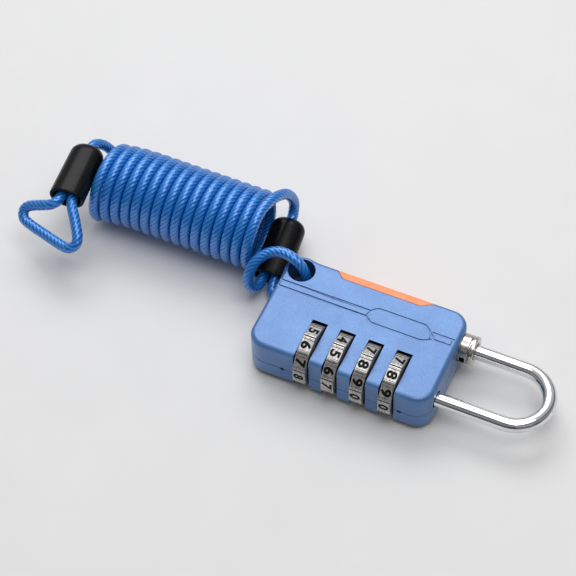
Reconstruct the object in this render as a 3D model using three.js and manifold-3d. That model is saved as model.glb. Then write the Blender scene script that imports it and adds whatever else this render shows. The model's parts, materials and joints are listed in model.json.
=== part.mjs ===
// Four-dial luggage padlock with a coiled security cable looped through its lug.
// Millimetres, +Z up. The lock lies on its back: +X points to the shackle, the dials are on -Y.
import * as THREE from "three";
import { mergeVertices } from "three/addons/utils/BufferGeometryUtils.js";
import Module from "manifold-3d";

const wasm = await Module();
wasm.setup();

// ---------------------------------------------------------------- driving dimensions
const GAP = 0.3; // running gap between neighbouring pieces
const SEAM = 0.1; // gap of a tight seam between fixed pieces

const BODY_LENGTH = 52;
const BODY_WIDTH = 31;
const BACK_Z = 1.1; // back face; the dials stand a little lower
const FRONT_Z = 14.1;
const PARTING_Z = 6.6;
const EDGE_FILLET = 1.3;
const CORNER_RADIUS = 5;

const AXLE_Y = 6.4; // common axis of the dials and the long shackle leg
const AXLE_Z = 8.25;
const DIAL_COUNT = 4;
const FIRST_DIAL_X = 16.1;
const DIAL_PITCH = 8.05;
const DIAL_WIDTH = 3.5;
const DIAL_RIDGE_RADIUS = 8.25;
const DIAL_FLAT_RADIUS = 8.1;
const DIAL_BORE_RADIUS = 4.85;
const DIGITS = 10;
const DIAL_REACH = DIAL_RIDGE_RADIUS * Math.cos(0.4 * ((2 * Math.PI) / DIGITS)); // a flat faces the near side
const SLOT_RADIUS = 8.8;
const SLOT_WIDTH = 4.3;

const SLEEVE_RADIUS = 4.5;
const SLEEVE_BORE_RADIUS = 2.25;
const SLEEVE_REACH = 3.85; // how far a sleeve runs past its dial's middle, towards the shackle
const CAVITY_RADIUS = 4.85;
const CAVITY_X = [11.6, 46.9];

const SHACKLE_RADIUS = 2;
const TOE_Y = 24.3;
const BOW_CENTRE_X = 70.3;
const LEG_END_X = 48.3;
const TOE_END_X = 48.6;
const SPINDLE_RADIUS = 1.7;
const SPINDLE_X = [11.3, 48];
const LUG_OFFSET = -2.97; // from a dial's middle to its spindle lug
const LUG_LENGTH = 1.5;
const LUG_RADIUS = 3.1;
const SPRING_X = [2.9, 10.4];

const COLLAR_RADIUS = 4;
const COLLAR_X = [45.5, 55.9];
const COLLAR_BORE_RADIUS = 2.35;

const EYE = { x: 4.6, y: 26.5, hole: 3.7, rim: 5 }; // the lug with the hole for the cable
const RELIEF = { x: 2.6, y: 28.6, radius: 8.6, z: 4.4 }; // room for the cable under the lug

const INLAY = { x: [15.3, 39], outerX: [13.6, 41.3], y: 28.4, tongueX: [18, 36], tongueY: 27.2, tongueZ: [5, 10.4] };

const CABLE_RADIUS = 1.5;
const COIL = { radius: 11.35, y: 36, x: [-58.6, -12.2] };
const FERRULE = { length: 18.3, width: 9.8, height: 7.6, crimpLength: 9.3 };
const STRAND_OFFSET = 1.65; // the two strands of an eye lie side by side in their ferrule

// The origin is the middle of the lock's own footprint.
const FOOTPRINT_X = [EYE.x - EYE.rim, BOW_CENTRE_X + (TOE_Y - AXLE_Y) / 2 + SHACKLE_RADIUS];
const FOOTPRINT_Y = [AXLE_Y - DIAL_REACH, EYE.y + EYE.rim];
const MIDDLE = (pair) => (pair[0] + pair[1]) / 2;
const dialX = (index) => FIRST_DIAL_X + index * DIAL_PITCH;

// ---------------------------------------------------------------- solids and booleans
function toSolid(geometry) {
  const bare = geometry.clone();
  bare.deleteAttribute("normal");
  bare.deleteAttribute("uv");
  const merged = mergeVertices(bare, 1e-4);
  return new wasm.Manifold(
    new wasm.Mesh({
      numProp: 3,
      vertProperties: Float32Array.from(merged.attributes.position.array),
      triVerts: Uint32Array.from(merged.index.array),
    })
  );
}

function toGeometry(solid) {
  const mesh = solid.getMesh();
  const geometry = new THREE.BufferGeometry();
  geometry.setAttribute("position", new THREE.BufferAttribute(Float32Array.from(mesh.vertProperties), 3));
  geometry.setIndex(new THREE.BufferAttribute(Uint32Array.from(mesh.triVerts), 1));
  geometry.computeVertexNormals();
  return geometry;
}

function box(x, y, z) {
  const geometry = new THREE.BoxGeometry(x[1] - x[0], y[1] - y[0], z[1] - z[0]);
  return toSolid(geometry.translate(MIDDLE(x), MIDDLE(y), MIDDLE(z)));
}

function cylinderX(radius, x, y, z, sides = 32) {
  const geometry = new THREE.CylinderGeometry(radius, radius, x[1] - x[0], sides);
  return toSolid(geometry.rotateZ(-Math.PI / 2).translate(MIDDLE(x), y, z));
}

function cylinderZ(radius, x, y, z, sides = 32) {
  const geometry = new THREE.CylinderGeometry(radius, radius, z[1] - z[0], sides);
  return toSolid(geometry.rotateX(Math.PI / 2).translate(x, y, MIDDLE(z)));
}

// A shape drawn in the (y, z) plane about the axle and pushed along X.
function profileX(shape, x) {
  const geometry = new THREE.ExtrudeGeometry(shape, { depth: x[1] - x[0], bevelEnabled: false, curveSegments: 10 });
  const turn = new THREE.Matrix4().makeBasis(
    new THREE.Vector3(0, 1, 0),
    new THREE.Vector3(0, 0, 1),
    new THREE.Vector3(1, 0, 0)
  );
  return toSolid(geometry.applyMatrix4(turn).translate(x[0], 0, 0));
}

// A turned piece on the axis through (y, z): profile points are [x, radius] and close on themselves.
function turnedX(profile, y, z, sides = 32) {
  const points = profile.map(([along, radius]) => new THREE.Vector2(radius, along));
  const geometry = new THREE.LatheGeometry([...points, points[0]], sides);
  return toSolid(geometry.rotateZ(-Math.PI / 2).translate(0, y, z));
}

function circleShape(radius, sides) {
  const points = [];
  for (let i = 0; i < sides; i += 1) {
    const turn = (i / sides) * 2 * Math.PI;
    points.push(new THREE.Vector2(radius * Math.cos(turn), radius * Math.sin(turn)));
  }
  return new THREE.Shape(points);
}

function tube(points, radius, sides, steps, closed = false) {
  const path = new THREE.CatmullRomCurve3(points, closed, "centripetal");
  return toSolid(
    new THREE.ExtrudeGeometry(circleShape(radius, sides), { steps, bevelEnabled: false, extrudePath: path })
  );
}

function cutAll(solid, tools) {
  return tools.reduce((rest, tool) => rest.subtract(tool), solid);
}

// ---------------------------------------------------------------- materials
const MATERIALS = {
  blue: { color: 0x3f6fb8, roughness: 0.35, metalness: 0.7 },
  orange: { color: 0xff9a63, roughness: 0.5, metalness: 0 },
  nickel: { color: 0xc9c6c0, roughness: 0.25, metalness: 1 },
  chrome: { color: 0xdedede, roughness: 0.08, metalness: 1 },
  steel: { color: 0x9a9c9f, roughness: 0.3, metalness: 1 },
  brass: { color: 0xc9a24a, roughness: 0.35, metalness: 1 },
  black: { color: 0x17171a, roughness: 0.35, metalness: 0 },
  cable: { color: 0x1e69c3, roughness: 0.25, metalness: 0 },
};

const lock = new THREE.Group();

function add(name, solid, finish) {
  const mesh = new THREE.Mesh(toGeometry(solid), new THREE.MeshStandardMaterial(MATERIALS[finish]));
  mesh.name = name;
  lock.add(mesh);
}

// ---------------------------------------------------------------- casing
// Outline seen from the front: three plain round corners and a lug round the cable's hole.
function bodyOutline() {
  const outline = new THREE.Shape();
  const r = CORNER_RADIUS;
  const lugPoint = (turn) => [EYE.x + EYE.rim * Math.cos(turn), EYE.y + EYE.rim * Math.sin(turn)];
  const lugStart = (75 / 180) * Math.PI;
  const lugEnd = (195 / 180) * Math.PI;
  outline.moveTo(r, 0);
  outline.lineTo(BODY_LENGTH - r, 0);
  outline.absarc(BODY_LENGTH - r, r, r, -Math.PI / 2, 0, false);
  outline.lineTo(BODY_LENGTH, BODY_WIDTH - r);
  outline.absarc(BODY_LENGTH - r, BODY_WIDTH - r, r, 0, Math.PI / 2, false);
  outline.lineTo(EYE.x + 4, BODY_WIDTH);
  outline.quadraticCurveTo(EYE.x + 2.3, BODY_WIDTH + 0.05, ...lugPoint(lugStart));
  outline.absarc(EYE.x, EYE.y, EYE.rim, lugStart, lugEnd, false);
  outline.quadraticCurveTo(-0.02, EYE.y - 2.3, 0, EYE.y - 4);
  outline.lineTo(0, r);
  outline.absarc(r, r, r, Math.PI, 1.5 * Math.PI, false);
  return outline;
}

function bodyBlank() {
  const geometry = new THREE.ExtrudeGeometry(bodyOutline(), {
    depth: FRONT_Z - BACK_Z - 2 * EDGE_FILLET,
    bevelThickness: EDGE_FILLET,
    bevelSize: EDGE_FILLET,
    bevelOffset: -EDGE_FILLET,
    bevelSegments: 3,
    curveSegments: 6,
  });
  return toSolid(geometry.translate(0, 0, BACK_Z + EDGE_FILLET));
}

// The dial's slot is open to the front, the back and the near side.
function dialSlot(index) {
  const x = [dialX(index) - SLOT_WIDTH / 2, dialX(index) + SLOT_WIDTH / 2];
  const round = cylinderX(SLOT_RADIUS, x, AXLE_Y, AXLE_Z, 48);
  return round.add(box(x, [-5, AXLE_Y], [AXLE_Z - SLOT_RADIUS, AXLE_Z + SLOT_RADIUS]));
}

const LEAF = { width: 2, pocketY: 17, z: [4.5, 12.1] };

function leafPocket(index) {
  const half = LEAF.width / 2 + GAP;
  return box([dialX(index) - half, dialX(index) + half], [AXLE_Y, LEAF.pocketY], LEAF.z);
}

const PIN = { radius: 1, z: [2.6, 11.6], places: [[4.5, 15.5], [22, 22.6], [38, 22.6], [47.8, 14.4]] };

function inlayOutline(grow) {
  const shape = new THREE.Shape();
  shape.moveTo(INLAY.x[0] - grow, INLAY.y - grow);
  shape.lineTo(INLAY.x[1] + grow, INLAY.y - grow);
  shape.lineTo(INLAY.outerX[1] + grow, BODY_WIDTH);
  shape.lineTo(INLAY.outerX[1] + grow, BODY_WIDTH + 1);
  shape.lineTo(INLAY.outerX[0] - grow, BODY_WIDTH + 1);
  shape.lineTo(INLAY.outerX[0] - grow, BODY_WIDTH);
  return shape;
}

function inlayTool(grow) {
  const geometry = new THREE.ExtrudeGeometry(inlayOutline(grow), { depth: FRONT_Z, bevelEnabled: false });
  const strip = toSolid(geometry.translate(0, 0, BACK_Z / 2));
  const tongue = box(
    [INLAY.tongueX[0] - grow, INLAY.tongueX[1] + grow],
    [INLAY.tongueY - grow, INLAY.y],
    [INLAY.tongueZ[0] - grow, INLAY.tongueZ[1] + grow]
  );
  return strip.add(tongue);
}

function makeCasing() {
  const blank = bodyBlank();
  const tools = [
    cylinderX(CAVITY_RADIUS, CAVITY_X, AXLE_Y, AXLE_Z),
    cylinderX(SPINDLE_RADIUS + 0.6, [SPRING_X[0] - GAP, CAVITY_X[0] + 1], AXLE_Y, AXLE_Z),
    cylinderX(SHACKLE_RADIUS + GAP, [CAVITY_X[1] - 1, BODY_LENGTH + 1], AXLE_Y, AXLE_Z),
    cylinderX(COLLAR_RADIUS + GAP, [COLLAR_X[0] - GAP, BODY_LENGTH + 1], TOE_Y, AXLE_Z),
    cylinderZ(EYE.hole, EYE.x, EYE.y, [0, FRONT_Z + 1]),
    cylinderZ(RELIEF.radius, RELIEF.x, RELIEF.y, [0, RELIEF.z], 40),
    inlayTool(SEAM),
  ];
  for (let i = 0; i < DIAL_COUNT; i += 1) tools.push(dialSlot(i), leafPocket(i));
  for (const [x, y] of PIN.places) {
    tools.push(cylinderZ(PIN.radius + GAP, x, y, [PIN.z[0] - GAP, PIN.z[1] + GAP], 16));
  }
  const cored = cutAll(blank, tools);
  const wide = [-10, 100];
  add("front_casing", cored.intersect(box(wide, wide, [PARTING_Z + SEAM / 2, 50])), "blue");
  add("rear_casing", cored.intersect(box(wide, wide, [-5, PARTING_Z - SEAM / 2])), "blue");
  add("side_inlay", blank.intersect(inlayTool(0)), "orange");
  PIN.places.forEach(([x, y], i) => {
    add(`casing_pin_${i + 1}`, cylinderZ(PIN.radius, x, y, PIN.z, 16), "steel");
  });
}

// ---------------------------------------------------------------- dials
// Ten flats for the digits with a low ridge between each two; ten notches in the bore.
function dialOutline() {
  const outer = [];
  const bore = [];
  const sector = (2 * Math.PI) / DIGITS;
  for (let i = 0; i < DIGITS; i += 1) {
    const middle = i * sector;
    for (const [share, radius] of [[-0.34, DIAL_FLAT_RADIUS], [0.34, DIAL_FLAT_RADIUS],
      [0.4, DIAL_RIDGE_RADIUS], [0.6, DIAL_RIDGE_RADIUS]]) {
      const turn = middle + share * sector;
      outer.push(new THREE.Vector2(radius * Math.cos(turn), radius * Math.sin(turn)));
    }
    for (const [share, radius] of [[-0.27, DIAL_BORE_RADIUS + 0.7], [0.27, DIAL_BORE_RADIUS + 0.7],
      [0.28, DIAL_BORE_RADIUS], [0.72, DIAL_BORE_RADIUS]]) {
      const turn = middle + share * sector;
      bore.push(new THREE.Vector2(radius * Math.cos(turn), radius * Math.sin(turn)));
    }
  }
  const shape = new THREE.Shape(outer);
  shape.holes.push(new THREE.Path(bore));
  return shape;
}

// The sleeve locks to its dial by one key and has one keyway for the spindle's lug.
function sleeve(index) {
  const x = [dialX(index) - DIAL_WIDTH / 2, dialX(index) + SLEEVE_REACH];
  const keyX = [x[0], dialX(index) + DIAL_WIDTH / 2];
  const key = box(keyX, [AXLE_Y + SLEEVE_RADIUS - 1, AXLE_Y + 5.2], [AXLE_Z - 0.45, AXLE_Z + 0.45]);
  const keyway = box([x[0] - 1, x[1] + 1], [AXLE_Y, AXLE_Y + LUG_RADIUS + 0.45], [AXLE_Z - 0.95, AXLE_Z + 0.95]);
  const round = cylinderX(SLEEVE_RADIUS, x, AXLE_Y, AXLE_Z);
  return cutAll(round.add(key), [cylinderX(SLEEVE_BORE_RADIUS, [x[0] - 1, x[1] + 1], AXLE_Y, AXLE_Z, 24), keyway]);
}

function leafSpring(index) {
  const crest = AXLE_Y + DIAL_RIDGE_RADIUS + GAP;
  const foot = LEAF.pocketY - 0.7;
  const thick = 0.3;
  const [low, high] = [LEAF.z[0] + GAP, LEAF.z[1] - GAP];
  const shape = new THREE.Shape();
  shape.moveTo(foot, low);
  shape.lineTo(crest + 0.25, AXLE_Z - 0.9);
  shape.quadraticCurveTo(crest, AXLE_Z, crest + 0.25, AXLE_Z + 0.9);
  shape.lineTo(foot, high);
  shape.lineTo(foot + thick, high);
  shape.lineTo(crest + 0.3 + thick, AXLE_Z + 0.9);
  shape.quadraticCurveTo(crest + 0.1 + thick, AXLE_Z, crest + 0.3 + thick, AXLE_Z - 0.9);
  shape.lineTo(foot + thick, low);
  return profileX(shape, [dialX(index) - LEAF.width / 2, dialX(index) + LEAF.width / 2]);
}

function makeDials() {
  for (let i = 0; i < DIAL_COUNT; i += 1) {
    const x = [dialX(i) - DIAL_WIDTH / 2, dialX(i) + DIAL_WIDTH / 2];
    add(`dial_ring_${i + 1}`, profileX(dialOutline(), x).translate([0, AXLE_Y, AXLE_Z]), "nickel");
    add(`code_sleeve_${i + 1}`, sleeve(i), "brass");
    add(`detent_spring_${i + 1}`, leafSpring(i), "steel");
  }
}

// ---------------------------------------------------------------- shackle
function shackleRod() {
  const bowRadius = (TOE_Y - AXLE_Y) / 2;
  const middleY = (TOE_Y + AXLE_Y) / 2;
  const path = new THREE.CurvePath();
  const corner = (x, y) => new THREE.Vector3(x, y, AXLE_Z);
  path.add(new THREE.LineCurve3(corner(LEG_END_X, AXLE_Y), corner(BOW_CENTRE_X, AXLE_Y)));
  const steps = 16;
  for (let i = 0; i < steps; i += 1) {
    const at = (k) => {
      const turn = -Math.PI / 2 + (k / steps) * Math.PI;
      return corner(BOW_CENTRE_X + bowRadius * Math.cos(turn), middleY + bowRadius * Math.sin(turn));
    };
    path.add(new THREE.LineCurve3(at(i), at(i + 1)));
  }
  path.add(new THREE.LineCurve3(corner(BOW_CENTRE_X, TOE_Y), corner(TOE_END_X, TOE_Y)));
  const joints = [path.curves[0].v1, ...path.curves.map((curve) => curve.v2)];
  return rodThrough(joints, SHACKLE_RADIUS, 20);
}

// A round rod with a ring of points at each joint of a polyline in one level plane.
function rodThrough(joints, radius, sides) {
  const positions = [];
  const index = [];
  joints.forEach((joint, i) => {
    const before = joints[Math.max(i - 1, 0)];
    const after = joints[Math.min(i + 1, joints.length - 1)];
    const along = after.clone().sub(before).normalize();
    const across = new THREE.Vector3(-along.y, along.x, 0);
    for (let k = 0; k < sides; k += 1) {
      const turn = (k / sides) * 2 * Math.PI;
      const point = joint.clone().addScaledVector(across, radius * Math.cos(turn));
      positions.push(point.x, point.y, point.z + radius * Math.sin(turn));
    }
  });
  const ring = (i, k) => i * sides + (k % sides);
  for (let i = 0; i + 1 < joints.length; i += 1) {
    for (let k = 0; k < sides; k += 1) {
      index.push(ring(i, k), ring(i, k + 1), ring(i + 1, k));
      index.push(ring(i, k + 1), ring(i + 1, k + 1), ring(i + 1, k));
    }
  }
  const last = joints.length - 1;
  for (let k = 1; k + 1 < sides; k += 1) {
    index.push(ring(0, 0), ring(0, k + 1), ring(0, k));
    index.push(ring(last, 0), ring(last, k), ring(last, k + 1));
  }
  const geometry = new THREE.BufferGeometry();
  geometry.setAttribute("position", new THREE.BufferAttribute(new Float32Array(positions), 3));
  geometry.setIndex(index);
  return toSolid(geometry);
}

function makeSpindle() {
  let spindle = cylinderX(SPINDLE_RADIUS, SPINDLE_X, AXLE_Y, AXLE_Z, 24);
  for (let i = 0; i < DIAL_COUNT; i += 1) {
    const middle = dialX(i) + LUG_OFFSET;
    spindle = spindle.add(
      box([middle - LUG_LENGTH / 2, middle + LUG_LENGTH / 2], [AXLE_Y, AXLE_Y + LUG_RADIUS], [AXLE_Z - 0.6, AXLE_Z + 0.6])
    );
  }
  return spindle;
}

function makeSpring() {
  const turns = 5.5;
  const perTurn = 10;
  const wire = 0.25;
  const points = [];
  for (let i = 0; i <= turns * perTurn; i += 1) {
    const share = i / (turns * perTurn);
    const turn = share * turns * 2 * Math.PI;
    const x = SPRING_X[0] + wire + share * (SPRING_X[1] - SPRING_X[0] - 2 * wire);
    points.push(new THREE.Vector3(x, AXLE_Y + 1.6 * Math.cos(turn), AXLE_Z + 1.6 * Math.sin(turn)));
  }
  return tube(points, wire, 5, turns * perTurn);
}

function makeCollar() {
  const [back, rim] = COLLAR_X;
  const bore = COLLAR_BORE_RADIUS;
  const groove = 0.3;
  const body = turnedX(
    [[back, bore], [back, COLLAR_RADIUS], [rim - 1.5, COLLAR_RADIUS], [rim - 1.5, COLLAR_RADIUS - groove],
      [rim - 1.15, COLLAR_RADIUS - groove], [rim - 1.15, COLLAR_RADIUS], [rim - 0.2, COLLAR_RADIUS],
      [rim, COLLAR_RADIUS - 0.2], [rim, bore]],
    TOE_Y, AXLE_Z, 36
  );
  const window = box([BODY_LENGTH + 0.5, rim - 1.9], [TOE_Y - 6, TOE_Y - 1.5], [AXLE_Z - 0.9, AXLE_Z + 0.9]);
  return body.subtract(window);
}

function makeShackle() {
  add("shackle", shackleRod(), "chrome");
  add("locking_spindle", makeSpindle(), "steel");
  add("spring_seat", cylinderX(1.95, [SPRING_X[1] + 0.2, SPRING_X[1] + 0.6], AXLE_Y, AXLE_Z, 24), "steel");
  add("shackle_spring", makeSpring(), "steel");
  add("toe_collar", makeCollar(), "nickel");
}

// ---------------------------------------------------------------- cable
// Each ferrule runs from its mouth, where the eye leaves, to its tail, where the coil's end goes in.
const FERRULES = {
  lock: { mouth: new THREE.Vector3(-5.75, 27.35, 3.95), tail: new THREE.Vector3(-7.2, 45.3, 7.1) },
  free: { mouth: new THREE.Vector3(-63.2, 20.4, 18.2), tail: new THREE.Vector3(-65.3, 38.6, 17.9) },
};

function ferruleFrame({ mouth, tail }) {
  const along = tail.clone().sub(mouth).normalize();
  const across = new THREE.Vector3(along.y, -along.x, 0).normalize();
  const up = new THREE.Vector3().crossVectors(across, along);
  return { along, across, up };
}

function ovalShape(width, height) {
  const r = height / 2;
  const shape = new THREE.Shape();
  shape.absarc(width / 2 - r, 0, r, -Math.PI / 2, Math.PI / 2, false);
  shape.absarc(r - width / 2, 0, r, Math.PI / 2, 1.5 * Math.PI, false);
  return shape;
}

// A piece drawn along +Z from its mouth at 0, laid along its ferrule's axis.
function layInFerrule(geometry, ferrule) {
  const { along, across, up } = ferruleFrame(ferrule);
  const place = new THREE.Matrix4().makeBasis(across, up.clone().negate(), along).setPosition(ferrule.mouth);
  return toSolid(geometry.applyMatrix4(place));
}

function ferruleBoot(ferrule) {
  const edge = 1.2;
  const outer = new THREE.ExtrudeGeometry(ovalShape(FERRULE.width, FERRULE.height), {
    depth: FERRULE.length - 2 * edge,
    bevelThickness: edge,
    bevelSize: edge,
    bevelOffset: -edge,
    bevelSegments: 3,
    curveSegments: 8,
  });
  const inner = new THREE.ExtrudeGeometry(ovalShape(FERRULE.width - 2, FERRULE.height - 2), {
    depth: FERRULE.length - 3.4,
    bevelEnabled: false,
    curveSegments: 8,
  });
  const exit = new THREE.ExtrudeGeometry(circleShape(CABLE_RADIUS + GAP, 16), { depth: 10, bevelEnabled: false });
  return cutAll(layInFerrule(outer.translate(0, 0, edge), ferrule), [
    layInFerrule(inner.translate(0, 0, -1), ferrule),
    layInFerrule(exit.translate(0, 0, FERRULE.length - 6), ferrule),
  ]);
}

function ferruleCrimp(ferrule) {
  const outer = new THREE.ExtrudeGeometry(ovalShape(FERRULE.width - 2.6, FERRULE.height - 2.6), {
    depth: FERRULE.crimpLength,
    bevelEnabled: false,
    curveSegments: 8,
  });
  return layInFerrule(outer.translate(0, 0, 3), ferrule);
}

// A point beside a ferrule's axis: across is to its right, out is how far it lies outside the mouth.
function atMouth(ferrule, across, out) {
  const frame = ferruleFrame(ferrule);
  return ferrule.mouth.clone().addScaledVector(frame.across, across).addScaledVector(frame.along, -out);
}

function atTail(ferrule, out) {
  return ferrule.tail.clone().addScaledVector(ferruleFrame(ferrule).along, out);
}

const point = ([x, y, z]) => new THREE.Vector3(x, y, z);

// The eye at the lock: out of the mouth, up and over, down through the lug's hole and back below the lug.
const EYE_LOCK = [
  [-7.4, 24.0, 4.0], [-8.0, 21.5, 5.6], [-8.7, 20.5, 8.6], [-8.8, 21.7, 11.9], [-7.6, 24.4, 14.8],
  [-5.0, 27.0, 16.4], [-1.6, 28.0, 16.9], [2.0, 27.6, 16.3], [4.8, 26.8, 14.4], [5.9, 26.3, 11.2],
  [5.6, 26.0, 7.6], [4.3, 25.0, 4.5], [2.3, 23.3, 2.7], [0.0, 22.6, 2.0], [-2.1, 23.1, 2.2],
  [-3.6, 24.7, 2.9],
];
// The free eye: a flat triangle with two sharp bends, held out by the stiff cable and drooping a little.
const EYE_FREE = [
  [-65.3, 18.6, 17.9], [-66.6, 17.5, 17.3], [-69.0, 17.1, 16.3], [-73.2, 16.5, 14.4], [-74.2, 15.8, 13.6],
  [-74.3, 14.8, 12.6], [-73.6, 13.8, 11.9], [-72.3, 13.2, 11.6], [-65.6, 11.3, 11.6], [-58.4, 9.4, 12.0],
  [-57.1, 9.3, 12.4], [-56.0, 9.9, 13.0], [-55.5, 10.9, 13.8], [-55.8, 12.1, 14.6], [-58.2, 15.6, 16.4],
  [-60.6, 18.8, 17.9],
];
// The last turn at the lock's end rises from the ferrule's tail and comes over the coil's top.
const LEAD_LOCK = [
  [-7.5, 47.4, 8.2], [-7.9, 48.8, 11.2], [-8.9, 47.1, 16.2], [-10.1, 42.4, 19.9], [-10.4, 38.2, 21.0],
];
// At the free end the cable comes up the coil's far side and runs straight into the ferrule's tail.
const LEAD_FREE = [[-64.9, 41.2, 17.4], [-63.6, 43.2, 15.4], [-62.1, 43.8, 12.4]];

function makeCable() {
  const { lock: atLock, free: atFree } = FERRULES;
  const eyeLock = [
    atMouth(atLock, -STRAND_OFFSET, GAP), atMouth(atLock, -STRAND_OFFSET, 1.6),
    ...EYE_LOCK.map(point),
    atMouth(atLock, STRAND_OFFSET, 1.2), atMouth(atLock, STRAND_OFFSET, GAP),
  ];
  const eyeFree = [
    atMouth(atFree, -STRAND_OFFSET, GAP), ...EYE_FREE.map(point), atMouth(atFree, STRAND_OFFSET, GAP),
  ];
  add("cable_eye_lock", tube(eyeLock, CABLE_RADIUS, 8, 30), "cable");
  add("cable_eye_free", tube(eyeFree, CABLE_RADIUS, 8, 28), "cable");
  add("cable_lead_lock", tube([atTail(atLock, GAP), ...LEAD_LOCK.map(point)], CABLE_RADIUS, 8, 12), "cable");
  add("cable_lead_free", tube([atTail(atFree, GAP), ...LEAD_FREE.map(point)], CABLE_RADIUS, 8, 8), "cable");
  add("cable_coil", cylinderX(COIL.radius, COIL.x, COIL.y, COIL.radius), "cable");
  add("ferrule_lock", ferruleBoot(atLock), "black");
  add("ferrule_free", ferruleBoot(atFree), "black");
  add("crimp_lock", ferruleCrimp(atLock), "steel");
  add("crimp_free", ferruleCrimp(atFree), "steel");
}

makeCasing();
makeDials();
makeShackle();
makeCable();
lock.position.set(-MIDDLE(FOOTPRINT_X), -MIDDLE(FOOTPRINT_Y), 0);

export default lock;
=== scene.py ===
"""A four-dial luggage padlock with a coiled security cable looped through its lug, lying on a pale floor.

Every shape is drawn in millimetres in the lock's own frame: x from the casing's left end, y from its near
edge, z above the floor. place() takes a finished mesh to the row frame, in metres.
"""
import math

import bmesh
import bpy
from mathutils import Matrix, Vector
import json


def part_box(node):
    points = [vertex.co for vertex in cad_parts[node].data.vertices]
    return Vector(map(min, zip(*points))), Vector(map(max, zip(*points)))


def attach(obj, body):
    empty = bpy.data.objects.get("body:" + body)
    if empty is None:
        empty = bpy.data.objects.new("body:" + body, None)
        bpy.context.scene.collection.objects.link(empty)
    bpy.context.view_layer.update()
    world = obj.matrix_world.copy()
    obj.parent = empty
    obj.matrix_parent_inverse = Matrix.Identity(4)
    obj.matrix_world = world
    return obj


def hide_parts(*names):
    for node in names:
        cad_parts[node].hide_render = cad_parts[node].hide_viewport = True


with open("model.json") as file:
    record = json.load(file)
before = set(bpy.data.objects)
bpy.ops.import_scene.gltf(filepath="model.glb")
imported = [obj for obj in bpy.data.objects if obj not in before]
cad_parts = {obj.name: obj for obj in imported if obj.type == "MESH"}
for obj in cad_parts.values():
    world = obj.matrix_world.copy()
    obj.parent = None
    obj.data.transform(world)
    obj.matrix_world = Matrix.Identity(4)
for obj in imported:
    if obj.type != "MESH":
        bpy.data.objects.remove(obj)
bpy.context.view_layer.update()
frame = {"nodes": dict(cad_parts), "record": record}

# ------------------------------------------------------------------ dimensions, mm
MM = 0.001
BODY_LENGTH, BODY_WIDTH = 52.0, 31.0
BACK_Z, FRONT_Z, PARTING_Z = 1.1, 14.1, 6.6
EDGE_FILLET = 1.35
CORNER_RADIUS = 5.0
EYE_X, EYE_Y, EYE_HOLE, EYE_RIM = 4.6, 26.5, 3.7, 5.0
AXLE_Y, AXLE_Z = 6.4, 8.25
DIAL_X = [16.1 + 8.05 * i for i in range(4)]
DIAL_WIDTH = 3.5
SHACKLE_RADIUS, TOE_Y, BOW_X = 2.0, 24.3, 70.3
CABLE_RADIUS = 1.5
COIL_RADIUS, COIL_Y, COIL_Z, COIL_PITCH = 9.85, 36.0, 11.35, 3.05
COIL_START_X, COIL_DRIFT_FROM, COIL_DRIFT = -11.3, 35.0, 0.009
COIL_TURNS = 15.625
BOOT_LENGTH, BOOT_WIDTH, BOOT_HEIGHT = 18.3, 9.8, 7.6
STRAND_OFFSET = 1.65
STRANDS, LAY, STRAND_RELIEF = 7, 9.5, 0.1

_, casing_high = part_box("front_casing")
TO_ROW = Matrix.Translation(
    (casing_high[0] - BODY_LENGTH * MM, casing_high[1] - (EYE_Y + EYE_RIM) * MM, 0)
) @ Matrix.Scale(MM, 4)


def row(x, y, z):
    return TO_ROW @ Vector((x, y, z))


# ------------------------------------------------------------------ camera
CAMERA_AT = (154.1, -283.4, 482.5)
CAMERA_AZIMUTH, CAMERA_ELEVATION, CAMERA_ROLL = (math.radians(v) for v in (23.21, 55.59, 0.22))
# The lock sits below and right of the picture's middle: the view is turned by this much from the fitted axis.
AIM_RIGHT, AIM_UP = -0.03254, 0.02446


def make_camera():
    az, el = CAMERA_AZIMUTH, CAMERA_ELEVATION
    back = Vector((math.sin(az) * math.cos(el), -math.cos(az) * math.cos(el), math.sin(el)))
    right = Vector((math.cos(az), math.sin(az), 0))
    up = back.cross(right)
    turn = Matrix.Rotation(CAMERA_ROLL, 3, back)
    right, up = turn @ right, turn @ up
    back = (back - right * AIM_RIGHT - up * AIM_UP).normalized()
    right = up.cross(back).normalized()
    up = back.cross(right)
    data = bpy.data.cameras.new("camera")
    data.lens = 135.4
    data.sensor_width = 36
    data.clip_start = 0.01
    camera = bpy.data.objects.new("camera", data)
    turned = Matrix((right, up, back)).transposed().to_4x4()
    camera.matrix_world = Matrix.Translation(row(*CAMERA_AT)) @ turned
    bpy.context.scene.collection.objects.link(camera)
    bpy.context.scene.camera = camera


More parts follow.
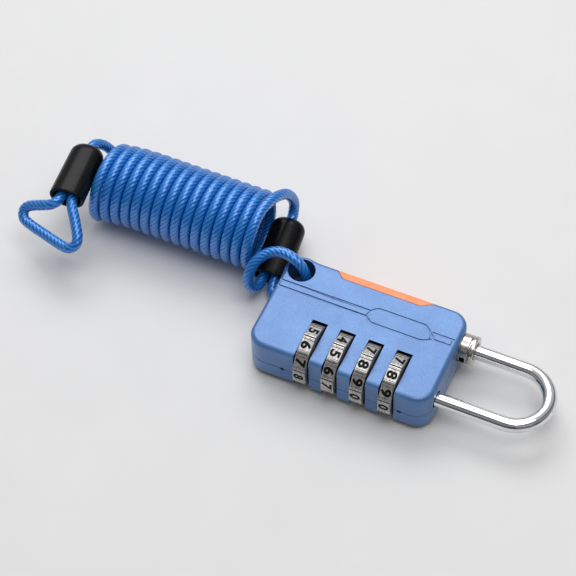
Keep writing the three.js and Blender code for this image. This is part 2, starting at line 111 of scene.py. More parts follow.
# ------------------------------------------------------------------ materials
class Nodes:
    """A short way to write a node tree."""

    def __init__(self, name):
        self.material = bpy.data.materials.new(name)
        self.material.use_nodes = True
        self.tree = self.material.node_tree
        self.shader = self.tree.nodes["Principled BSDF"]

    def add(self, kind, inputs=(), **settings):
        node = self.tree.nodes.new("ShaderNode" + kind)
        for key, value in settings.items():
            setattr(node, key, value)
        for key, value in dict(inputs).items():
            if isinstance(value, bpy.types.NodeSocket):
                self.tree.links.new(value, node.inputs[key])
            else:
                node.inputs[key].default_value = value
        return node

    def set(self, **values):
        for key, value in values.items():
            socket = self.shader.inputs[key.replace("_", " ")]
            if isinstance(value, bpy.types.NodeSocket):
                self.tree.links.new(value, socket)
            else:
                socket.default_value = value

    def coordinates(self, stretch=(1, 1, 1), uv=False):
        source = self.add("TexCoord").outputs["UV" if uv else "Object"]
        return self.add("Mapping", {"Vector": source, "Scale": stretch}).outputs["Vector"]

    def noise(self, scale, stretch=(1, 1, 1), detail=3.0, roughness=0.55, uv=False):
        node = self.add(
            "TexNoise",
            {
                "Vector": self.coordinates(stretch, uv), "Scale": scale,
                "Detail": detail, "Roughness": roughness,
            },
        )
        return node.outputs["Fac"]

    def ramp(self, fac, *stops):
        node = self.add("ValToRGB", {"Fac": fac})
        elements = node.color_ramp.elements
        while len(elements) < len(stops):
            elements.new(0.5)
        for element, (position, colour) in zip(elements, stops):
            element.position = position
            element.color = (*colour, 1) if len(colour) == 3 else colour
        return node.outputs["Color"]

    def span(self, fac, low, high):
        return self.add("MapRange", {"Value": fac, "To Min": low, "To Max": high}).outputs["Result"]

    def math(self, operation, a, b=0.0):
        return self.add("Math", {0: a, 1: b}, operation=operation).outputs[0]

    def bump(self, height, strength, distance):
        node = self.add("Bump", {"Height": height, "Strength": strength, "Distance": distance})
        return node.outputs["Normal"]

    def recess(self, distance, low=0.3, high=0.62):
        """0 deep in slots and holes and 1 in the open, from ambient occlusion: the mask that paints shade into a
        colour.
        """
        node = self.add("AmbientOcclusion", {"Distance": distance}, samples=6)
        open_share = {"Value": node.outputs["AO"], "From Min": low, "From Max": high}
        return self.add("MapRange", open_share).outputs["Result"]

    def mix(self, factor, a, b, blend="MIX"):
        node = self.add("Mix", data_type="RGBA", blend_type=blend)
        for key, value in (("Factor_Float", factor), ("A_Color", a), ("B_Color", b)):
            socket = next(item for item in node.inputs if item.identifier == key)
            if isinstance(value, bpy.types.NodeSocket):
                self.tree.links.new(value, socket)
            else:
                socket.default_value = value if key == "Factor_Float" or len(value) == 4 else (*value, 1)
        return next(item for item in node.outputs if item.identifier == "Result_Color")


def srgb(*values):
    """A colour from 8-bit sRGB values, in the linear values that the shaders take."""
    shares = [v / 255 for v in values]
    return tuple(v / 12.92 if v < 0.04045 else ((v + 0.055) / 1.055) ** 2.4 for v in shares)


def casing_paint():
    """Light blue metallic paint with painted shade: near-black in slots, holes and grooves, where ambient
    occlusion is deep.
    """
    n = Nodes("casing_paint")
    base = n.ramp(n.noise(110, detail=3), (0.3, srgb(68, 110, 168)), (0.7, srgb(82, 126, 182)))
    flake = n.ramp(n.noise(5200, detail=1), (0.5, (0, 0, 0)), (0.85, srgb(150, 178, 212)))
    paint = n.mix(0.3, base, flake, "SCREEN")
    n.set(
        # Painted shade: ambient occlusion mixes the paint towards near-black srgb(14, 22, 38) in recesses.
        Base_Color=n.mix(n.recess(0.004), srgb(14, 22, 38), paint),
        Metallic=0.3,
        Roughness=n.span(n.noise(700, detail=4), 0.34, 0.46),
        Normal=n.bump(n.noise(2600, detail=2), 0.16, 0.00004),
        Coat_Weight=0.35,
        Coat_Roughness=0.18,
    )
    return n.material


def orange_plastic():
    n = Nodes("orange_plastic")
    n.set(
        Base_Color=n.ramp(n.noise(150), (0.3, srgb(246, 142, 92)), (0.7, srgb(250, 154, 104))),
        Roughness=n.span(n.noise(1200), 0.42, 0.55),
        Normal=n.bump(n.noise(3000), 0.15, 0.00004),
        Subsurface_Weight=0.1,
        Subsurface_Radius=(0.002, 0.001, 0.0005),
    )
    return n.material


def metal(name, dark, light, rough, stretch=(1, 1, 1), scale=900, bump=0.25, fine=0.00003, metallic=1.0):
    n = Nodes(name)
    streak = n.noise(scale, stretch, detail=5, roughness=0.65)
    # Painted shade: the dark colour at 12%, laid into hollows by ambient occlusion.
    recess_shade = [v * 0.12 for v in dark]
    surface = n.ramp(streak, (0.3, dark), (0.7, light))
    n.set(
        # Painted shade where ambient occlusion finds hollows; the streak ramp elsewhere.
        Base_Color=n.mix(n.recess(0.0025, 0.15, 0.5), recess_shade, surface),
        Metallic=metallic,
        Roughness=n.span(streak, *rough),
        Normal=n.bump(streak, bump, fine),
    )
    return n.material


def vinyl_cable():
    """Clear blue vinyl over twisted wire. U runs once round the cable and V along it, in turns of the lay."""
    n = Nodes("vinyl_cable")
    uv = n.add("TexCoord").outputs["UV"]
    part = n.add("SeparateXYZ", {"Vector": uv})
    around, along = part.outputs["X"], part.outputs["Y"]
    strand = n.math("COSINE", n.math("MULTIPLY", around, STRANDS * 2 * math.pi))
    wire_around = n.math("MULTIPLY", around, STRANDS * 6 * math.pi)
    wire_phase = n.math("ADD", wire_around, n.math("MULTIPLY", along, 26 * math.pi))
    wire = n.math("SINE", wire_phase)
    relief = n.math("SUBTRACT", n.math("MULTIPLY", wire, 0.35), n.math("MULTIPLY", strand, 0.45))
    patchy = n.math("ADD", relief, n.math("MULTIPLY", n.noise(26, (12, 1, 1), uv=True), 1.1))
    level = n.add("MapRange", {"Value": patchy, "From Min": -0.5, "From Max": 1.6}).outputs["Result"]
    n.set(
        # Painted shade in the grooves between strands and a painted highlight on their crests, mixed with random
        # patches of tone.
        Base_Color=n.ramp(
            level,
            (0.0, srgb(2, 56, 136)), (0.4, srgb(8, 106, 200)),
            (0.75, srgb(22, 146, 234)), (1.0, srgb(104, 190, 246)),
        ),
        Metallic=0.3,
        Roughness=n.span(level, 0.4, 0.28),
        Normal=n.bump(relief, 0.35, 0.00008),
        Coat_Weight=1.0,
        Coat_Roughness=0.1,
    )
    return n.material


def moulded_black():
    n = Nodes("moulded_black")
    n.set(
        Base_Color=n.ramp(n.noise(300), (0.3, srgb(9, 9, 12)), (0.7, srgb(17, 17, 20))),
        Roughness=n.span(n.noise(1500, detail=4), 0.22, 0.3),
        Normal=n.bump(n.noise(2500), 0.15, 0.00003),
        Specular_IOR_Level=0.16,
    )
    return n.material


def figure_enamel():
    n = Nodes("figure_enamel")
    n.set(
        Base_Color=n.ramp(n.noise(2500), (0.3, srgb(6, 6, 7)), (0.8, srgb(18, 18, 18))),
        Roughness=n.span(n.noise(1800), 0.45, 0.6),
        Specular_IOR_Level=0.15,
    )
    return n.material


def floor_paper():
    n = Nodes("floor_paper")
    n.set(Base_Color=n.ramp(n.noise(40), (0.3, (0.74, 0.74, 0.74)), (0.7, (0.76, 0.76, 0.76))), Roughness=0.9)
    n.shader.inputs["Specular IOR Level"].default_value = 0.1
    return n.material


GREY = (srgb(150, 148, 144), srgb(226, 224, 220))
MATERIALS = {
    "casing": casing_paint(),
    "inlay": orange_plastic(),
    "nickel": metal("polished_nickel", srgb(168, 164, 158), srgb(222, 218, 210), (0.16, 0.3), scale=700),
    "shackle": metal(
        "polished_chrome", srgb(205, 206, 208), srgb(240, 240, 240), (0.05, 0.1), (0.15, 1, 1), 600, 0.06
    ),
    "steel": metal("plain_steel", *GREY, (0.25, 0.42)),
    "dial": metal(
        "worn_nickel", srgb(132, 130, 128), srgb(226, 224, 221), (0.22, 0.45), (2.5, 0.6, 0.6), 1300,
        bump=0.5, fine=0.00006, metallic=0.7,
    ),
    "sleeve": metal("turned_brass", srgb(170, 130, 66), srgb(226, 190, 112), (0.2, 0.4), (3, 1, 1)),
    "cable": vinyl_cable(),
    "ferrule": moulded_black(),
}
ENAMEL = figure_enamel()


# ------------------------------------------------------------------ mesh helpers
def make_object(name, vertices, faces):
    mesh = bpy.data.meshes.new(name)
    mesh.from_pydata([tuple(v) for v in vertices], [], faces)
    mesh.update()
    made = bpy.data.objects.new(name, mesh)
    bpy.context.scene.collection.objects.link(made)
    return made


def clean(mesh):
    """All faces outwards."""
    made = bmesh.new()
    made.from_mesh(mesh)
    bmesh.ops.recalc_face_normals(made, faces=made.faces)
    made.to_mesh(mesh)
    made.free()


def loft(name, rings, close=False):
    """Joins rings of equal length; the ends are capped, or the last ring meets the first."""
    sides = len(rings[0])
    vertices = [p for ring in rings for p in ring]
    faces = []
    for i in range(len(rings) if close else len(rings) - 1):
        a, b = i * sides, ((i + 1) % len(rings)) * sides
        for k in range(sides):
            m = (k + 1) % sides
            faces.append((a + k, a + m, b + m, b + k))
    if not close:
        faces.append(tuple(range(sides - 1, -1, -1)))
        faces.append(tuple(range((len(rings) - 1) * sides, len(rings) * sides)))
    made = make_object(name, vertices, faces)
    clean(made.data)
    return made


def prism(name, outline, low, high, axis="z"):
    """An outline pushed along an axis. Along x the outline is (y, z), along y (x, z) and along z (x, y)."""
    spot = {
        "x": lambda p, t: (t, p[0], p[1]),
        "y": lambda p, t: (p[0], t, p[1]),
        "z": lambda p, t: (p[0], p[1], t),
    }[axis]
    return loft(name, [[spot(p, low) for p in outline], [spot(p, high) for p in outline]])


def box(name, x, y, z):
    return prism(name, [(x[0], y[0]), (x[1], y[0]), (x[1], y[1]), (x[0], y[1])], *z)


def arc(cx, cy, radius, start, end, steps):
    """Points of an arc, in degrees from start to end."""
    turns = [math.radians(start + (end - start) * i / steps) for i in range(steps + 1)]
    return [(cx + radius * math.cos(t), cy + radius * math.sin(t)) for t in turns]


def rod(name, radius, centre, low, high, axis="x", steps=64):
    return prism(name, arc(*centre, radius, 0, 360, steps)[:-1], low, high, axis)


def applied(made):
    """The object with its modifiers made real."""
    mesh = bpy.data.meshes.new_from_object(made.evaluated_get(bpy.context.evaluated_depsgraph_get()))
    old = made.data
    made.modifiers.clear()
    made.data = mesh
    bpy.data.meshes.remove(old)
    return made


def combine(made, tools, operation="DIFFERENCE"):
    for tool in tools:
        modifier = made.modifiers.new("cut", "BOOLEAN")
        modifier.object = tool
        modifier.operation = operation
        modifier.solver = "EXACT"
    applied(made)
    for tool in tools:
        mesh = tool.data
        bpy.data.objects.remove(tool)
        bpy.data.meshes.remove(mesh)
    return made


def copy_of(made, name):
    twin = bpy.data.objects.new(name, made.data.copy())
    bpy.context.scene.collection.objects.link(twin)
    return twin


def soften(made, width, angle=38, segments=2):
    bevel = made.modifiers.new("edges", "BEVEL")
    bevel.width = width
    bevel.segments = segments
    bevel.limit_method = "ANGLE"
    bevel.angle_limit = math.radians(angle)
    bevel.use_clamp_overlap = False
    return applied(made)


def shade(made, angle=34):
    mesh = made.data
    mesh.polygons.foreach_set("use_smooth", [True] * len(mesh.polygons))
    mesh.set_sharp_from_angle(angle=math.radians(angle))
    weighted = made.modifiers.new("normals", "WEIGHTED_NORMAL")
    weighted.keep_sharp = True
    return made


def place(made, body, slot, *nodes, material=None):
    """Takes a piece to the row frame and says what it rides on, is made of and stands for."""
    made.data.transform(TO_ROW)
    made.data.materials.clear()
    made.data.materials.append(material or MATERIALS[slot])
    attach(made, body)
    if nodes:
        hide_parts(*nodes)
    return made


# ------------------------------------------------------------------ cable
def smooth_path(points, step):
    """A centripetal Catmull-Rom curve through the points, sampled about every step."""
    points = [Vector(p) for p in points]
    points = [points[0] * 2 - points[1], *points, points[-1] * 2 - points[-2]]
    path = []
    for p0, p1, p2, p3 in zip(points, points[1:], points[2:], points[3:]):
        knots = [0.0]
        for a, b in ((p0, p1), (p1, p2), (p2, p3)):
            knots.append(knots[-1] + math.sqrt((b - a).length))
        t0, t1, t2, t3 = knots
        count = max(2, round((p2 - p1).length / step))
        for i in range(count):
            t = t1 + (t2 - t1) * i / count
            a1 = p0 * ((t1 - t) / (t1 - t0)) + p1 * ((t - t0) / (t1 - t0))
            a2 = p1 * ((t2 - t) / (t2 - t1)) + p2 * ((t - t1) / (t2 - t1))
            a3 = p2 * ((t3 - t) / (t3 - t2)) + p3 * ((t - t2) / (t3 - t2))
            b1 = a1 * ((t2 - t) / (t2 - t0)) + a2 * ((t - t0) / (t2 - t0))
            b2 = a2 * ((t3 - t) / (t3 - t1)) + a3 * ((t - t1) / (t3 - t1))
            path.append(b1 * ((t2 - t) / (t2 - t1)) + b2 * ((t - t1) / (t2 - t1)))
    path.append(points[-2])
    return path


def length_of(path):
    return sum((b - a).length for a, b in zip(path, path[1:]))


def sweep(name, path, radius, sides=24, lay=0.0, relief=0.0):
    """A tube along a path. With a lay, its section turns once in that length and has that many strands."""
    last = len(path) - 1
    tangents = [(path[min(i + 1, last)] - path[max(i - 1, 0)]).normalized() for i in range(last + 1)]
    normal = tangents[0].orthogonal().normalized()
    rings, rows, travelled = [], [], 0.0
    for i, (p, t) in enumerate(zip(path, tangents)):
        if i:
            normal = tangents[i - 1].rotation_difference(t) @ normal
            travelled += (p - path[i - 1]).length
        side = t.cross(normal)
        turn = 2 * math.pi * travelled / lay if lay else 0.0
        ring = []
        for k in range(sides):
            a = 2 * math.pi * k / sides
            r = radius - relief * (1 - abs(math.sin(STRANDS * a / 2)))
            ring.append(p + (normal * math.cos(a + turn) + side * math.sin(a + turn)) * r)
        rings.append(ring)
        rows.append(travelled / (lay or 10.0))
    made = loft(name, rings)
    layer = made.data.uv_layers.new(name="around_and_along")
    for polygon in made.data.polygons:
        corners = [made.data.loops[i].vertex_index for i in polygon.loop_indices]
        wraps = {v % sides for v in corners} >= {0, sides - 1} and len(corners) == 4
        for i, vertex in zip(polygon.loop_indices, corners):
            k = vertex % sides
            layer.data[i].uv = ((sides if wraps and k == 0 else k) / sides, rows[vertex // sides])
    return made


class Boot:
    """A moulded boot over a crimp, from its mouth, where the eye leaves, to its tail, where the cable enters."""

    def __init__(self, mouth, tail):
        self.mouth, self.tail = Vector(mouth), Vector(tail)
        self.along = (self.tail - self.mouth).normalized()
        self.across = Vector((self.along.y, -self.along.x, 0)).normalized()
        self.up = self.across.cross(self.along)

    def point(self, across, up, along):
        return self.mouth + self.across * across + self.up * up + self.along * along


LOCK_BOOT = Boot((-5.75, 27.35, 3.95), (-7.2, 45.3, 7.1))
FREE_BOOT = Boot((-63.2, 20.4, 18.2), (-65.3, 38.6, 17.9))

# Up from the boot's mouth, over, down through the lug's hole and back below the lug.
EYE_LOCK = [
    (-7.4, 24.0, 4.0), (-8.0, 21.5, 5.6), (-8.7, 20.5, 8.6), (-8.8, 21.7, 11.9), (-7.6, 24.4, 14.8),
    (-5.0, 27.0, 16.4), (-1.6, 28.0, 16.9), (2.0, 27.6, 16.3), (4.8, 26.8, 14.4), (5.9, 26.3, 11.2),
    (5.6, 26.0, 7.6), (4.3, 25.0, 4.5), (2.3, 23.3, 2.7), (0.0, 22.6, 2.0), (-2.1, 23.1, 2.2),
    (-3.6, 24.7, 2.9),
]
# A flat triangle with two sharp bends, held out by the stiff cable and drooping a little.
EYE_FREE = [
    (-65.3, 18.6, 17.9), (-66.6, 17.5, 17.3), (-69.0, 17.1, 16.3), (-73.2, 16.5, 14.4), (-74.2, 15.8, 13.6),
    (-74.3, 14.8, 12.6), (-73.6, 13.8, 11.9), (-72.3, 13.2, 11.6), (-65.6, 11.3, 11.6), (-58.4, 9.4, 12.0),
    (-57.1, 9.3, 12.4), (-56.0, 9.9, 13.0), (-55.5, 10.9, 13.8), (-55.8, 12.1, 14.6), (-58.2, 15.6, 16.4),
    (-60.6, 18.8, 17.9),
]
LEAD_LOCK = [
    (-7.5, 47.4, 8.2), (-7.9, 48.8, 11.2), (-8.9, 47.1, 16.2), (-10.1, 42.4, 19.9), (-10.9, 38.4, 21.1),
]
LEAD_FREE = [(-60.2, 44.3, 7.8), (-62.0, 44.8, 11.2), (-64.0, 43.6, 14.8), (-65.2, 41.2, 17.2)]


def coil_point(turns):
    """The helix, from the top down the near side and up the far side; its free end drifts to the near side."""
    s = turns * COIL_PITCH
    past = max(0.0, s - COIL_DRIFT_FROM)
    a = math.pi / 2 + 2 * math.pi * turns
    middle_y = COIL_Y - COIL_DRIFT * past * past
    y, z = middle_y + COIL_RADIUS * math.cos(a), COIL_Z + COIL_RADIUS * math.sin(a)
    return Vector((COIL_START_X - s, y, z))


def through(boot, first, last, side):
    """Points in a boot, from one depth to another, off its axis only near the mouth."""
    points = []
    for i in range(5):
        depth = first + (last - first) * i / 4
        off = STRAND_OFFSET * side * min(1.0, max(0.0, (12 - depth) / 4))
        points.append(boot.point(off, 0, depth))
    return points


def cable_route():
    per_turn = 16
    coil = [coil_point(i / per_turn) for i in range(round(COIL_TURNS * per_turn) + 1)]
    return [
        *through(LOCK_BOOT, 8, 0.5, -1), *EYE_LOCK, *through(LOCK_BOOT, 1.0, BOOT_LENGTH, 1), *LEAD_LOCK,
        *coil, *LEAD_FREE,
        *through(FREE_BOOT, BOOT_LENGTH, 0.5, -1), *EYE_FREE, *through(FREE_BOOT, 0.5, 8, 1),
    ]


def oval(boot, width, height, depth, power=2.15, sides=48):
    ring = []
    for k in range(sides):
        a = 2 * math.pi * k / sides
        c, s = math.cos(a), math.sin(a)
        x = width / 2 * math.copysign(abs(c) ** (2 / power), c)
        y = height / 2 * math.copysign(abs(s) ** (2 / power), s)
        ring.append(boot.point(x, y, depth))
    return ring


def boot_piece(name, boot):
    wall, lip, shoulder = 0.9, 0.35, 2.9
    mouth_w, tail_w = BOOT_WIDTH + 0.15, BOOT_WIDTH - 0.15
    rings = [
        oval(boot, mouth_w - 2 * wall - 0.6, BOOT_HEIGHT - 2 * wall - 0.6, 4.2),
        oval(boot, mouth_w - 2 * wall, BOOT_HEIGHT - 2 * wall, 1.0),
        oval(boot, mouth_w - 2 * wall + 0.2, BOOT_HEIGHT - 2 * wall + 0.2, lip / 2),
        oval(boot, mouth_w - wall, BOOT_HEIGHT - wall, 0),
        oval(boot, mouth_w - 0.15, BOOT_HEIGHT - 0.15, lip / 3),
        oval(boot, mouth_w, BOOT_HEIGHT, lip),
    ]
    straight = BOOT_LENGTH - shoulder
    for i in range(1, 7):
        share = i / 6
        width = mouth_w + (tail_w - mouth_w) * share
        rings.append(oval(boot, width, BOOT_HEIGHT, lip + (straight - lip) * share))
    for i in range(1, 11):
        a = math.pi / 2 * i / 10
        cut = shoulder * (1 - math.cos(a))
        width, height = tail_w - 2 * cut * 0.95, BOOT_HEIGHT - 2 * cut * 0.72
        rings.append(oval(boot, width, height, straight + shoulder * math.sin(a)))
    hole = 2 * CABLE_RADIUS + 0.15
    rings.append(oval(boot, hole + 0.5, hole + 0.5, BOOT_LENGTH, 2))
    rings.append(oval(boot, hole, hole, BOOT_LENGTH - 0.3, 2))
    rings.append(oval(boot, hole, hole, BOOT_LENGTH - 2, 2))
    return shade(loft(name, rings), 50)


def make_cable():
    path = smooth_path(cable_route(), 0.62)
    cable = sweep("cable", path, CABLE_RADIUS + STRAND_RELIEF / 3, sides=28, lay=LAY, relief=STRAND_RELIEF)
    shade(cable, 70)
    nodes = ("cable_eye_lock", "cable_lead_lock", "cable_coil", "cable_lead_free", "cable_eye_free")
    place(cable, "casing", "cable", *nodes)
    for end, boot in (("lock", LOCK_BOOT), ("free", FREE_BOOT)):
        piece = boot_piece(f"boot_{end}", boot)
        place(piece, "casing", "ferrule", f"ferrule_{end}")
    in_row = [TO_ROW @ p for p in path]
    return length_of(in_row)


# ------------------------------------------------------------------ casing
def body_outline():
    r = CORNER_RADIUS
    points = [*arc(r, r, r, 180, 270, 14), *arc(BODY_LENGTH - r, r, r, 270, 360, 14)]
    points += arc(BODY_LENGTH - r, BODY_WIDTH - r, r, 0, 90, 14)
    rim_start = arc(EYE_X, EYE_Y, EYE_RIM, 75, 75, 1)[0]
    points += curve((EYE_X + 4, BODY_WIDTH), (EYE_X + 2.3, BODY_WIDTH + 0.05), rim_start, 8)
    points += arc(EYE_X, EYE_Y, EYE_RIM, 75, 195, 24)[1:]
    points += curve(points[-1], (-0.02, EYE_Y - 2.3), (0, EYE_Y - 4), 8)[1:]
    return points


def curve(a, b, c, steps):
    """A quadratic curve from a to c."""
    return [
        tuple((1 - t) ** 2 * a[i] + 2 * t * (1 - t) * b[i] + t * t * c[i] for i in (0, 1))
        for t in (k / steps for k in range(steps + 1))
    ]


def inset(outline, amount):
    """The outline moved inwards; its points run anticlockwise."""
    moved = []
    for i, (x, y) in enumerate(outline):
        ax, ay = outline[i - 1]
        bx, by = outline[(i + 1) % len(outline)]
        dx, dy = bx - ax, by - ay
        size = math.hypot(dx, dy)
        moved.append((x - dy / size * amount, y + dx / size * amount))
    return moved


def make_blank(name):
    outline = body_outline()
    rings = []
    steps = 7
    for i in range(steps + 1):
        a = math.pi / 2 * i / steps
        level = BACK_Z + EDGE_FILLET * (1 - math.sin(a))
        rings.append([(x, y, level) for x, y in inset(outline, EDGE_FILLET * (1 - math.cos(a)))])
    rings.reverse()
    for i in range(steps + 1):
        a = math.pi / 2 * i / steps
        level = FRONT_Z - EDGE_FILLET * (1 - math.sin(a))
        rings.append([(x, y, level) for x, y in inset(outline, EDGE_FILLET * (1 - math.cos(a)))])
    return loft(name, rings)


SLOT_RADIUS, SLOT_WIDTH = 8.8, 4.3
INDEX_X = (10.65, 44.0)  # the marks beside the dials that the code lines up with
INLAY_X, INLAY_OUTER_X, INLAY_Y = (15.3, 39.0), (13.6, 41.3), 28.35


def inlay_tool(name, grow):
    left, right = INLAY_X[0] - grow, INLAY_X[1] + grow
    outline = [
        (left + 0.8, INLAY_Y - grow), (right - 0.8, INLAY_Y - grow), (right, INLAY_Y - grow + 0.35),
        (INLAY_OUTER_X[1] + grow, BODY_WIDTH - 0.6), (INLAY_OUTER_X[1] + grow, BODY_WIDTH + 1),
        (INLAY_OUTER_X[0] - grow, BODY_WIDTH + 1), (INLAY_OUTER_X[0] - grow, BODY_WIDTH - 0.6),
        (left, INLAY_Y - grow + 0.35),
    ]
    return prism(name, outline, 0, FRONT_Z + 1)


def pad_outline(grow):
    """The blank oval plate on the front, an oval with a point towards the lug."""
    points = [(26.5 - grow * 1.2, 20.4), (27.0 - grow, 19.2 - grow * 0.3)]
    points += curve((27.4 - grow, 18.6 - grow), (27.9, 18.1 - grow), (29.0, 18.1 - grow), 4)
    points += curve((41.6, 18.1 - grow), (43.6 + grow, 18.2 - grow), (44.6 + grow, 19.6), 6)
    points += curve((44.6 + grow, 19.7), (44.6 + grow, 21.4), (42.0, 23.1 + grow), 6)
    points += curve((29.0, 23.1 + grow), (27.9, 23.0 + grow), (27.2 - grow, 22.0 + grow * 0.5), 4)
    return points


GROOVE_Y, GROOVE_WIDTH, GROOVE_DEPTH = (19.6, 21.6), 0.6, 0.28
RIGHT_BAND_X = (45.2, 50.4)


def band_outline(grow):
    """The short band between the plate and the shackle's end, its left end following the plate."""
    low, high = GROOVE_Y[0] - grow, GROOVE_Y[1] + grow
    left, right = RIGHT_BAND_X[0] - grow, RIGHT_BAND_X[1] + grow
    return [(left, low), (right, low), (right, high), (left - 0.5, high)]


def front_engraving():
    depth = (FRONT_Z - GROOVE_DEPTH, FRONT_Z + 1)
    core = (depth[0] - 1, depth[1] + 1)
    half = GROOVE_WIDTH / 2
    tools = [box("groove", (-1, 26.7), (y - half, y + half), depth) for y in GROOVE_Y]
    for outline in (band_outline, pad_outline):
        tools.append(combine(prism("ring", outline(half), *depth), [prism("core", outline(-half), *core)]))
    return tools


def slot_tool(x):
    outline = [(-5, AXLE_Z + SLOT_RADIUS), (-5, AXLE_Z - SLOT_RADIUS)]
    outline += arc(AXLE_Y, AXLE_Z, SLOT_RADIUS, -90, 90, 48)
    return prism("slot", outline, x - SLOT_WIDTH / 2, x + SLOT_WIDTH / 2, "x")


def make_casing():
    blank = make_blank("front_shell")
    inlay = combine(copy_of(blank, "orange_inlay"), [inlay_tool("inlay_shape", 0)], "INTERSECT")
    tools = [
        rod("bore", 4.85, (AXLE_Y, AXLE_Z), 11.6, 46.9),
        rod("bore", 2.35, (AXLE_Y, AXLE_Z), 46, 53),
        rod("bore", 2.3, (AXLE_Y, AXLE_Z), 2.6, 12),
        rod("bore", 4.12, (TOE_Y, AXLE_Z), 45.2, 53),
        rod("bore", EYE_HOLE, (EYE_X, EYE_Y), 0, 16, "z", 72),
        rod("relief", 8.6, (2.6, 28.6), 0, 4.4, "z", 72),
        *[rod("dimple", 0.55, (x, PARTING_Z - 0.2), -1, 0.5, "y", 24) for x in INDEX_X],
        inlay_tool("inlay_seat", 0.06),
        *front_engraving(),
        *[slot_tool(x) for x in DIAL_X],
        *[box("pocket", (x - 1.3, x + 1.3), (AXLE_Y, 17), (4.5, 12.1)) for x in DIAL_X],
    ]
    combine(blank, tools)
    rear = copy_of(blank, "rear_shell")
    seam = 0.05
    wide = ((-20, 80), (-20, 60))
    combine(blank, [box("above", *wide, (PARTING_Z + seam, 30))], "INTERSECT")
    combine(rear, [box("below", *wide, (-10, PARTING_Z - seam))], "INTERSECT")
    for piece in (blank, rear):
        shade(soften(piece, 0.12))
    place(blank, "casing", "casing", "front_casing")
    place(rear, "casing", "casing", "rear_casing")
    place(shade(soften(inlay, 0.12)), "casing", "inlay", "side_inlay")


# ------------------------------------------------------------------ dials
# First figure of each dial on the near side, and how far its click leaves it from true.
FACING = [(8, 1.4), (7, -2.6), (10, -1.5), (10, -0.9)]
FLAT_REACH = 7.9
# Between two figures: two raised blocks, a deep groove between them and a fine one beside each flat.
RIDGE = [
    (11.3, 7.75), (11.9, 7.75), (12.1, 8.22), (13.9, 8.27), (14.3, 8.1), (14.7, 8.27),
    (16.4, 8.27), (16.6, 7.7), (19.4, 7.7), (19.6, 8.27),
    (21.3, 8.27), (21.7, 8.1), (22.1, 8.27), (23.9, 8.22), (24.1, 7.75), (24.7, 7.75),
]
FIGURE_SIZE, FIGURE_BOLD, FIGURE_WIDEN = 3.75, 0.16, 1.14


def dial_section():
    """(turn, radius) round a dial: ten flats for figures, with a ridge between each two."""
    sector = 36.0
    flat_half = 11.2
    points = []
    for i in range(10):
        middle = i * sector
        for t in (-flat_half, -flat_half / 2, 0, flat_half / 2, flat_half):
            points.append((middle + t, FLAT_REACH / math.cos(math.radians(t))))
        for t, r in RIDGE:
            points.append((middle + t, r))
    return points


def dial_ring(name, x, twist):
    section = dial_section()
    half = DIAL_WIDTH / 2

    def ring(at, shrink=0.0, radius=None):
        points = []
        for turn, r in section:
            a = math.radians(turn + 90 + twist)
            r = radius or (r - shrink)
            points.append((x + at, AXLE_Y - r * math.sin(a), AXLE_Z + r * math.cos(a)))
        return points

    rings = [
        ring(-half, radius=4.9), ring(-half, radius=7.2), ring(-half, 0.16), ring(-half + 0.05, 0.05),
        ring(-half + 0.16), ring(half - 0.16),
        ring(half - 0.05, 0.05), ring(half, 0.16), ring(half, radius=7.2), ring(half, radius=4.9),
    ]
    return shade(loft(name, rings, close=True), 22)


def figures(name, x, first, twist):
    """The ten figures of a dial as one piece, their tops towards the shackle."""
    made = bmesh.new()
    for figure in range(10):
        text = bpy.data.curves.new("figure", "FONT")
        text.body = str(figure)
        text.size = FIGURE_SIZE
        text.offset = FIGURE_BOLD
        text.extrude = 0.02
        text.resolution_u = 6
        glyph = bpy.data.objects.new("figure", text)
        mesh = bpy.data.meshes.new_from_object(glyph)
        xs = [v.co.x for v in mesh.vertices]
        ys = [v.co.y for v in mesh.vertices]
        middle = Vector(((min(xs) + max(xs)) / 2, (min(ys) + max(ys)) / 2, 0))
        a = math.radians(90 + twist + 36 * (figure - first))
        outward = Vector((0, -math.sin(a), math.cos(a)))
        onward = Vector((0, -math.cos(a), -math.sin(a)))
        turn = Matrix((onward, Vector((1, 0, 0)), outward)).transposed().to_4x4()
        spot = Vector((x, AXLE_Y, AXLE_Z)) + outward * (FLAT_REACH + 0.005)
        widen = Matrix.Scale(FIGURE_WIDEN, 4, (1, 0, 0))
        mesh.transform(Matrix.Translation(spot) @ turn @ widen @ Matrix.Translation(-middle))
        made.from_mesh(mesh)
        bpy.data.objects.remove(glyph)
        bpy.data.curves.remove(text)
        bpy.data.meshes.remove(mesh)
    mesh = bpy.data.meshes.new(name)
    made.to_mesh(mesh)
    made.free()
    piece = bpy.data.objects.new(name, mesh)
    bpy.context.scene.collection.objects.link(piece)
    return piece


def make_dials():
    for i, (x, (first, twist)) in enumerate(zip(DIAL_X, FACING), 1):
        place(dial_ring(f"dial_{i}_wheel", x, twist), f"dial_{i}", "dial", f"dial_ring_{i}")
        place(figures(f"dial_{i}_figures", x, first, twist), f"dial_{i}", "dial", material=ENAMEL)


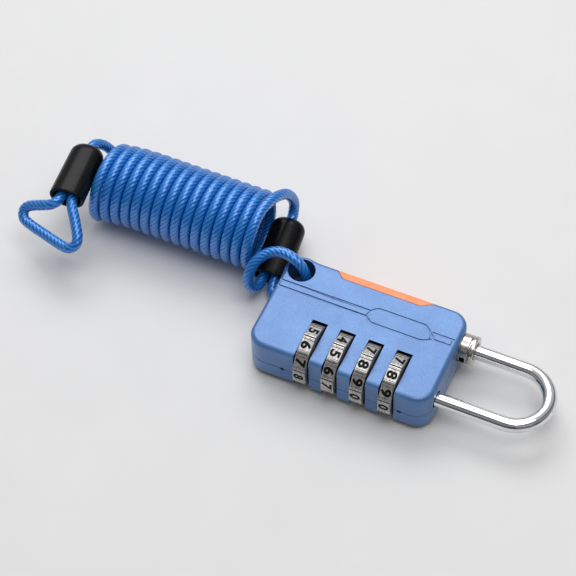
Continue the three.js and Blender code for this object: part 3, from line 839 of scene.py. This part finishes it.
# ------------------------------------------------------------------ shackle
def make_shackle():
    bow = (TOE_Y - AXLE_Y) / 2
    middle = (TOE_Y + AXLE_Y) / 2
    line = [(48.3, AXLE_Y), (60, AXLE_Y), *arc(BOW_X, middle, bow, -90, 90, 48), (60, TOE_Y), (48.6, TOE_Y)]
    path = [Vector((x, y, AXLE_Z)) for x, y in line]
    place(shade(sweep("shackle_bow", path, SHACKLE_RADIUS, sides=48), 60), "shackle", "shackle", "shackle")
    rim, back = 55.9, 45.5
    profile = [
        (back, 2.35), (back, 4.0), (rim - 1.7, 4.0), (rim - 1.62, 3.9), (rim - 1.62, 3.55), (rim - 1.2, 3.55),
        (rim - 1.2, 3.92), (rim - 1.1, 4.02), (rim - 0.2, 4.02), (rim - 0.05, 3.95), (rim, 3.8), (rim, 2.65),
        (rim - 0.2, 2.4), (rim - 0.8, 2.35),
    ]
    turns = [2 * math.pi * k / 72 for k in range(72)]
    rings = [
        [(x, TOE_Y + r * math.cos(a), AXLE_Z + r * math.sin(a)) for a in turns]
        for x, r in profile
    ]
    collar = loft("toe_sleeve", rings, close=True)
    window = ((BODY_LENGTH + 0.55, rim - 1.9), (TOE_Y - 6, TOE_Y - 1.6), (AXLE_Z - 1.0, AXLE_Z + 0.9))
    combine(collar, [box("window", *window)])
    place(shade(soften(collar, 0.05), 30), "casing", "nickel", "toe_collar")


# ------------------------------------------------------------------ CAD nodes that stay
def finish_cad_nodes():
    slots = {entry["node"]: entry["material_slot"] for entry in frame["record"]["subparts"]}
    for name, node in frame["nodes"].items():
        for holder in node.material_slots:
            holder.material = MATERIALS[slots[name]]


# ------------------------------------------------------------------ stage
# The surroundings' brightness, from the side away from SKY_TOWARD (0) to the side it points to (1).
SKY_TOWARD = (-0.25, 0.5, 0.83)
SKY = [
    (0.0, 0.16), (0.38, 0.18), (0.43, 0.04), (0.48, 0.3), (0.62, 0.45), (0.72, 0.16), (0.8, 0.6), (0.95, 0.9),
]
FLOOR_REACH = 3.0
LIGHTS_AIM = (-0.02, 0.005, 0.005)


def area_light(name, spot, aim, size, power):
    data = bpy.data.lights.new(name, "AREA")
    data.shape = "RECTANGLE"
    data.size, data.size_y = size
    data.energy = power
    light = bpy.data.objects.new(name, data)
    spot, aim = Vector(spot), Vector(aim)
    light.matrix_world = Matrix.Translation(spot) @ (spot - aim).to_track_quat("Z", "Y").to_matrix().to_4x4()
    bpy.context.scene.collection.objects.link(light)


def make_world():
    """Soft grey surroundings: lighter overhead and behind the object, darker low down on the viewer's side."""
    world = bpy.data.worlds.new("studio")
    world.use_nodes = True
    tree = world.node_tree
    background = tree.nodes["Background"]
    coordinates = tree.nodes.new("ShaderNodeTexCoord")
    toward = tree.nodes.new("ShaderNodeVectorMath")
    toward.operation = "DOT_PRODUCT"
    toward.inputs[1].default_value = Vector(SKY_TOWARD).normalized()
    span = tree.nodes.new("ShaderNodeMapRange")
    span.inputs["From Min"].default_value = -1
    ramp = tree.nodes.new("ShaderNodeValToRGB")
    tree.links.new(coordinates.outputs["Generated"], toward.inputs[0])
    tree.links.new(toward.outputs["Value"], span.inputs["Value"])
    tree.links.new(span.outputs["Result"], ramp.inputs["Fac"])
    tree.links.new(ramp.outputs["Color"], background.inputs["Color"])
    elements = ramp.color_ramp.elements
    while len(elements) < len(SKY):
        elements.new(0.5)
    for element, (position, level) in zip(elements, SKY):
        element.position = position
        element.color = (level, level, level * 1.02, 1)
    background.inputs["Strength"].default_value = 0.7
    bpy.context.scene.world = world


def make_stage():
    r = FLOOR_REACH
    floor = make_object("floor", [(-r, -r, 0), (r, -r, 0), (r, r, 0), (-r, r, 0)], [(0, 1, 2, 3)])
    floor.data.materials.append(floor_paper())
    area_light("key", (-0.25, 0.4, 0.6), LIGHTS_AIM, (0.6, 0.4), 2.6)
    area_light("fill", (0.5, -0.45, 0.4), LIGHTS_AIM, (0.5, 0.5), 0.08)
    area_light("top", (0.1, -0.05, 0.8), LIGHTS_AIM, (0.5, 0.5), 2.4)
    make_world()
    bpy.context.scene.view_settings.view_transform = "Standard"


make_camera()
cable_length = make_cable()
make_casing()
make_dials()
make_shackle()
finish_cad_nodes()
make_stage()
